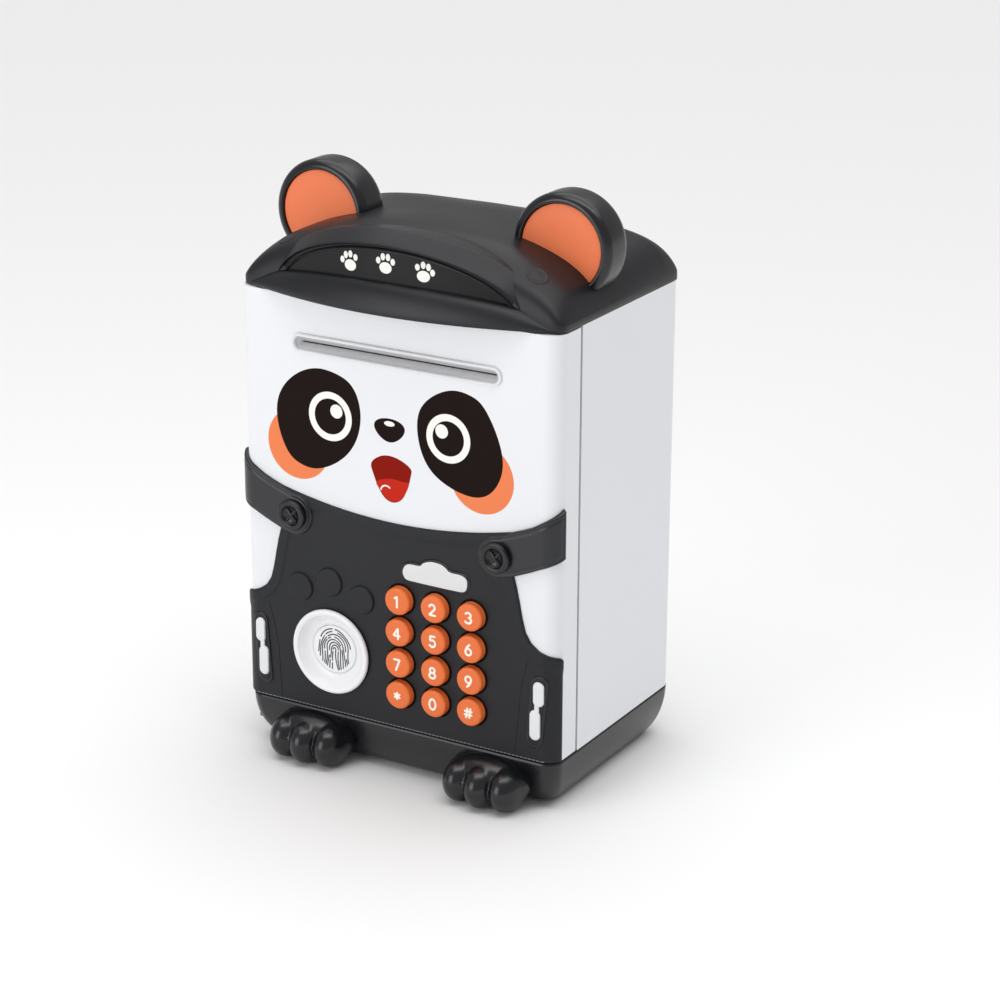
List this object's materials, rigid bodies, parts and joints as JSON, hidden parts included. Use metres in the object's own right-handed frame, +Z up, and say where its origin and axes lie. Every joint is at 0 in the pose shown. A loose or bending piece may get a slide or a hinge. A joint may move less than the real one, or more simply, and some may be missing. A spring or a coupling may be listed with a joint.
{
  "type": "toy savings bank",
  "caption": "Toy cash machine money box with a panda face: white cabinet, hinged keypad door, black domed roof with two ears and two paws.",
  "frame": {"origin": "bottom centre of the bounding box, on the surface that the bank stands on", "axes": "+Z up; the door faces -Y; +X to the right of a person who faces the door"},
  "size_m": [0.145, 0.11, 0.23],
  "materials": {
    "gloss_black": "glossy moulded black ABS",
    "satin_charcoal": "satin moulded charcoal ABS",
    "white_shell": "smooth moulded white ABS",
    "white_trim": "glossy white trim",
    "ear_orange": "satin orange insert",
    "key_orange": "glossy orange caps with white legends",
    "inner_grey": "moulded grey ABS",
    "steel": "zinc-plated steel",
    "brass": "nickelled brass contacts",
    "board_green": "solder-masked circuit board",
    "silicone": "translucent silicone sheet",
    "roller_rubber": "soft black rubber",
    "gear_white": "natural acetal",
    "cell_wrap": "printed steel jacket"
  },
  "bodies": {
    "cabinet": {"base_tub": "gloss_black", "inner_floor": "satin_charcoal", "battery_cover": "gloss_black", "battery_cells": "cell_wrap", "battery_contacts": "brass", "speaker": "inner_grey", "base_screws": "steel", "left_paw": "gloss_black", "right_paw": "gloss_black", "cabinet_shell": "white_shell", "latch_keeper": "inner_grey", "roof_shell": "gloss_black", "roof_plugs": "gloss_black", "sign_panel": "satin_charcoal", "roof_screws": "steel", "left_ear_shell": "gloss_black", "right_ear_shell": "gloss_black", "left_ear_inlay": "ear_orange", "right_ear_inlay": "ear_orange", "hinge_pins": "steel"},
    "door": {"door_shell": "white_shell", "bill_slot_bezel": "white_trim", "apron_panel": "satin_charcoal", "cloud_lens": "white_trim", "left_pocket_lens": "white_trim", "right_pocket_lens": "white_trim", "left_strap_button": "satin_charcoal", "right_strap_button": "satin_charcoal", "scanner_dish": "white_trim", "keypad_membrane": "silicone", "main_board": "board_green", "door_back_cover": "inner_grey", "door_screws": "steel", "feeder_frame": "inner_grey", "feed_motor": "steel", "latch_housing": "inner_grey"},
    "key_1": {"key_1": "key_orange"},
    "key_2": {"key_2": "key_orange"},
    "key_3": {"key_3": "key_orange"},
    "key_4": {"key_4": "key_orange"},
    "key_5": {"key_5": "key_orange"},
    "key_6": {"key_6": "key_orange"},
    "key_7": {"key_7": "key_orange"},
    "key_8": {"key_8": "key_orange"},
    "key_9": {"key_9": "key_orange"},
    "key_star": {"key_star": "key_orange"},
    "key_0": {"key_0": "key_orange"},
    "key_hash": {"key_hash": "key_orange"},
    "scanner_button": {"scanner_pad": "white_trim"},
    "feed_roller": {"feed_shaft": "steel", "feed_rollers": "roller_rubber", "shaft_gear": "gear_white"},
    "pinch_roller": {"pinch_shaft": "steel", "pinch_rollers": "roller_rubber"},
    "motor_pinion": {"motor_pinion": "gear_white"},
    "latch": {"latch_bolt": "steel"}
  },
  "joints": [
    {"name": "door_hinge", "type": "hinge", "parent": "cabinet", "child": "door", "pos_m": [-0.065, -0.0305, 0.1], "axis": [0, 0, -1], "range_deg": [0, 105]},
    {"name": "key_1_press", "type": "slide", "parent": "door", "child": "key_1", "axis": [0, 1, 0], "range_m": [0, 0.0012], "stiffness_N_per_m": 250, "springref_m": -0.0008},
    {"name": "key_2_press", "type": "slide", "parent": "door", "child": "key_2", "axis": [0, 1, 0], "range_m": [0, 0.0012], "stiffness_N_per_m": 250, "springref_m": -0.0008},
    {"name": "key_3_press", "type": "slide", "parent": "door", "child": "key_3", "axis": [0, 1, 0], "range_m": [0, 0.0012], "stiffness_N_per_m": 250, "springref_m": -0.0008},
    {"name": "key_4_press", "type": "slide", "parent": "door", "child": "key_4", "axis": [0, 1, 0], "range_m": [0, 0.0012], "stiffness_N_per_m": 250, "springref_m": -0.0008},
    {"name": "key_5_press", "type": "slide", "parent": "door", "child": "key_5", "axis": [0, 1, 0], "range_m": [0, 0.0012], "stiffness_N_per_m": 250, "springref_m": -0.0008},
    {"name": "key_6_press", "type": "slide", "parent": "door", "child": "key_6", "axis": [0, 1, 0], "range_m": [0, 0.0012], "stiffness_N_per_m": 250, "springref_m": -0.0008},
    {"name": "key_7_press", "type": "slide", "parent": "door", "child": "key_7", "axis": [0, 1, 0], "range_m": [0, 0.0012], "stiffness_N_per_m": 250, "springref_m": -0.0008},
    {"name": "key_8_press", "type": "slide", "parent": "door", "child": "key_8", "axis": [0, 1, 0], "range_m": [0, 0.0012], "stiffness_N_per_m": 250, "springref_m": -0.0008},
    {"name": "key_9_press", "type": "slide", "parent": "door", "child": "key_9", "axis": [0, 1, 0], "range_m": [0, 0.0012], "stiffness_N_per_m": 250, "springref_m": -0.0008},
    {"name": "key_star_press", "type": "slide", "parent": "door", "child": "key_star", "axis": [0, 1, 0], "range_m": [0, 0.0012], "stiffness_N_per_m": 250, "springref_m": -0.0008},
    {"name": "key_0_press", "type": "slide", "parent": "door", "child": "key_0", "axis": [0, 1, 0], "range_m": [0, 0.0012], "stiffness_N_per_m": 250, "springref_m": -0.0008},
    {"name": "key_hash_press", "type": "slide", "parent": "door", "child": "key_hash", "axis": [0, 1, 0], "range_m": [0, 0.0012], "stiffness_N_per_m": 250, "springref_m": -0.0008},
    {"name": "scanner_press", "type": "slide", "parent": "door", "child": "scanner_button", "axis": [0, 1, 0], "range_m": [0, 0.0011], "stiffness_N_per_m": 300, "springref_m": -0.0008},
    {"name": "feed_roller_spin", "type": "hinge", "parent": "door", "child": "feed_roller", "pos_m": [0, -0.0309, 0.1624], "axis": [1, 0, 0], "continuous": true},
    {"name": "pinch_roller_spin", "type": "hinge", "parent": "door", "child": "pinch_roller", "pos_m": [0, -0.0309, 0.173], "axis": [1, 0, 0], "continuous": true},
    {"name": "motor_pinion_spin", "type": "hinge", "parent": "door", "child": "motor_pinion", "pos_m": [0.05, -0.0309, 0.1538], "axis": [1, 0, 0], "continuous": true},
    {"name": "latch_slide", "type": "slide", "parent": "door", "child": "latch", "axis": [1, 0, 0], "range_m": [0, 0.0046]}
  ],
  "couplings": [
    {"joint": "pinch_roller_spin", "follows": "feed_roller_spin", "ratio": -1},
    {"joint": "motor_pinion_spin", "follows": "feed_roller_spin", "ratio": -1.8333}
  ]
}
